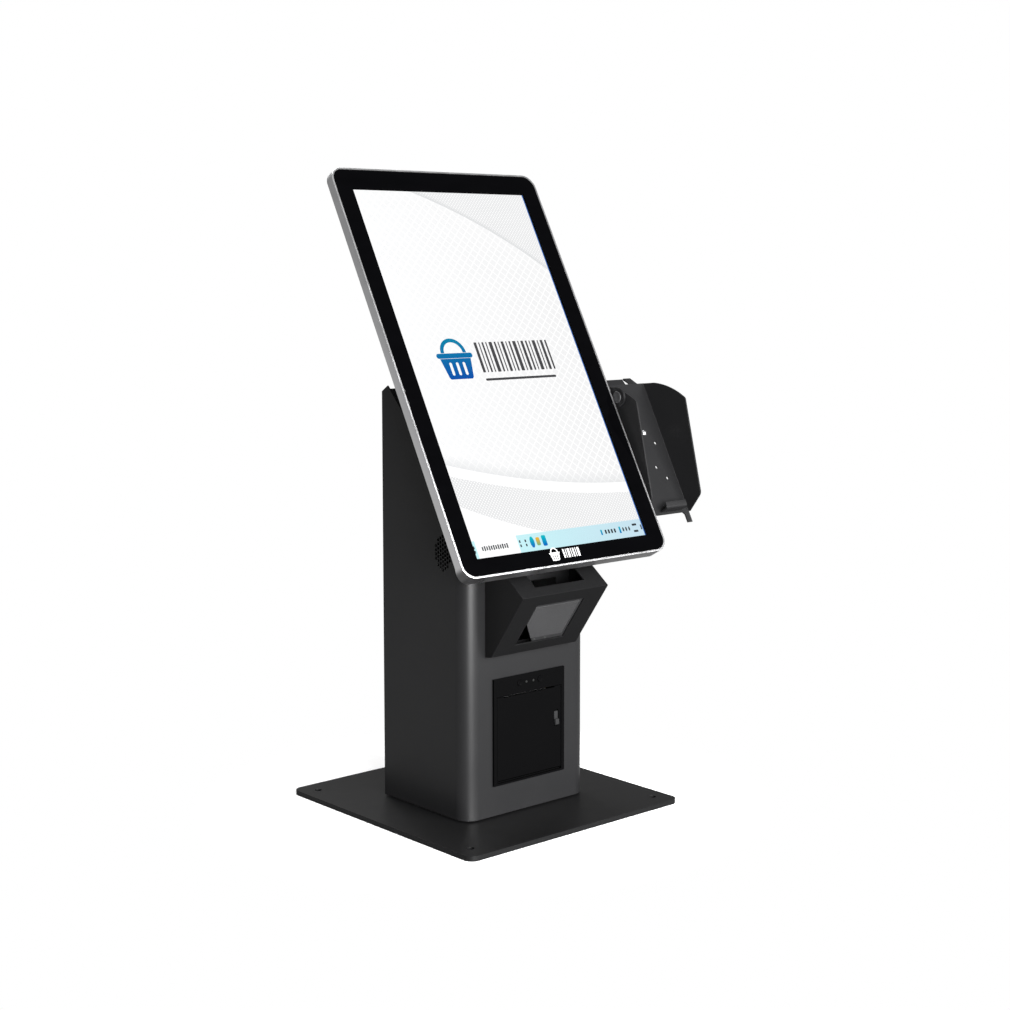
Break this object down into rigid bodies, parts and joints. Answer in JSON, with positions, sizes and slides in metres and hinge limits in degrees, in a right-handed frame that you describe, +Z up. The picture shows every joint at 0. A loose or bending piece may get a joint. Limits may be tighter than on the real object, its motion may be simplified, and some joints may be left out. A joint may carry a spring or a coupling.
{
  "type": "self checkout kiosk",
  "caption": "Countertop self-service kiosk: tilted portrait touch display on a steel column with barcode scanner hood, receipt printer door, service door and payment-terminal cradle.",
  "frame": {"origin": "centre of the base plate's underside", "axes": "+X to the right of a person facing the display, +Y towards the kiosk's back, +Z up"},
  "size_m": [0.4215, 0.354, 0.7773],
  "materials": {
    "powder_coat": "fine satin powder coat",
    "frame_alloy": "grey anodised, fine satin",
    "steel": "zinc plated, satin",
    "black_plastic": "fine spark texture",
    "grey_plastic": "moulded, satin",
    "rubber": "matt",
    "cover_glass": "black-printed toughened glass with a clear window over the screen",
    "screen": "lit screen",
    "scan_glass": "smoked scan window",
    "paper": "thermal receipt paper",
    "board": "solder mask",
    "brass": "machined",
    "led": "status light"
  },
  "bodies": {
    "kiosk": {"base_plate": "powder_coat", "cable_grommet": "rubber", "foot_angle_left": "steel", "foot_angle_right": "steel", "column_shell": "powder_coat", "top_cover": "powder_coat", "chassis_plate": "steel", "power_supply": "steel", "controller_box": "black_plastic", "speaker_left": "black_plastic", "speaker_right": "black_plastic", "display_frame": "frame_alloy", "cover_glass": "cover_glass", "lcd_panel": "screen", "display_housing": "powder_coat", "display_board": "board", "display_mount": "powder_coat", "mount_screw_1": "steel", "mount_screw_2": "steel", "mount_screw_3": "steel", "mount_screw_4": "steel", "scanner_hood": "powder_coat", "scanner_module": "black_plastic", "scanner_window": "scan_glass", "scanner_bracket": "steel", "printer_bezel": "black_plastic", "printer_bucket": "grey_plastic", "door_hinge_pin": "steel", "ready_led": "led", "paper_led": "led", "thermal_head": "steel", "paper_cutter": "steel", "feed_motor": "steel", "rear_panel": "powder_coat", "power_inlet": "black_plastic", "network_socket": "black_plastic", "switch_frame": "black_plastic", "hinge_pin_lower": "steel", "hinge_pin_upper": "steel", "cradle_arm": "powder_coat", "arm_screw_1": "steel", "arm_screw_2": "steel", "pivot_bolt": "steel"},
    "printer_door": {"printer_door": "black_plastic"},
    "platen": {"platen_roller": "rubber", "platen_gear": "black_plastic"},
    "door_latch": {"door_latch": "grey_plastic"},
    "drive_gear": {"drive_gear": "brass"},
    "paper_roll": {"paper_roll": "paper", "roll_core": "grey_plastic"},
    "power_button": {"power_button": "black_plastic"},
    "feed_button": {"feed_button": "black_plastic"},
    "rear_door": {"rear_door": "powder_coat", "lock_housing": "steel"},
    "rear_lock": {"lock_plug": "brass", "lock_cam": "steel"},
    "power_rocker": {"power_rocker": "black_plastic"},
    "terminal_cradle": {"terminal_cradle": "powder_coat", "terminal_screw": "steel"}
  },
  "joints": [
    {"name": "printer_door_hinge", "type": "hinge", "parent": "kiosk", "child": "printer_door", "pos_m": [0, -0.0832, 0.052], "axis": [1, 0, 0], "range_deg": [0, 85]},
    {"name": "platen_spin", "type": "hinge", "parent": "printer_door", "child": "platen", "pos_m": [0, -0.07, 0.141], "axis": [1, 0, 0], "continuous": true},
    {"name": "door_latch_pull", "type": "hinge", "parent": "printer_door", "child": "door_latch", "pos_m": [0.043, -0.0846, 0.1185], "axis": [-1, 0, 0], "range_deg": [0, 20], "stiffness_Nm_per_rad": 0.05},
    {"name": "drive_gear_spin", "type": "hinge", "parent": "kiosk", "child": "drive_gear", "pos_m": [0.0494, -0.05, 0.141], "axis": [1, 0, 0], "continuous": true},
    {"name": "paper_roll_spin", "type": "hinge", "parent": "kiosk", "child": "paper_roll", "pos_m": [0, -0.03, 0.09], "axis": [1, 0, 0], "continuous": true},
    {"name": "power_button_press", "type": "slide", "parent": "kiosk", "child": "power_button", "axis": [0, 1, 0], "range_m": [0, 0.001], "stiffness_N_per_m": 400},
    {"name": "feed_button_press", "type": "slide", "parent": "kiosk", "child": "feed_button", "axis": [0, 1, 0], "range_m": [0, 0.001], "stiffness_N_per_m": 400},
    {"name": "rear_door_hinge", "type": "hinge", "parent": "kiosk", "child": "rear_door", "pos_m": [0.0932, 0.08, 0.285], "axis": [0, 0, -1], "range_deg": [0, 110]},
    {"name": "rear_lock_turn", "type": "hinge", "parent": "rear_door", "child": "rear_lock", "pos_m": [-0.075, 0.077, 0.3], "axis": [0, 1, 0], "range_deg": [-90, 0]},
    {"name": "power_rocker_tilt", "type": "hinge", "parent": "kiosk", "child": "power_rocker", "pos_m": [-0.022, 0.074, 0.036], "axis": [0, 0, 1], "range_deg": [0, 12]},
    {"name": "cradle_tilt", "type": "hinge", "parent": "kiosk", "child": "terminal_cradle", "pos_m": [0.1665, -0.066, 0.497], "axis": [1, 0, 0], "range_deg": [-15, 20]}
  ],
  "couplings": [
    {"joint": "platen_spin", "follows": "paper_roll_spin", "ratio": -6.8},
    {"joint": "drive_gear_spin", "follows": "paper_roll_spin", "ratio": 4.7304}
  ]
}
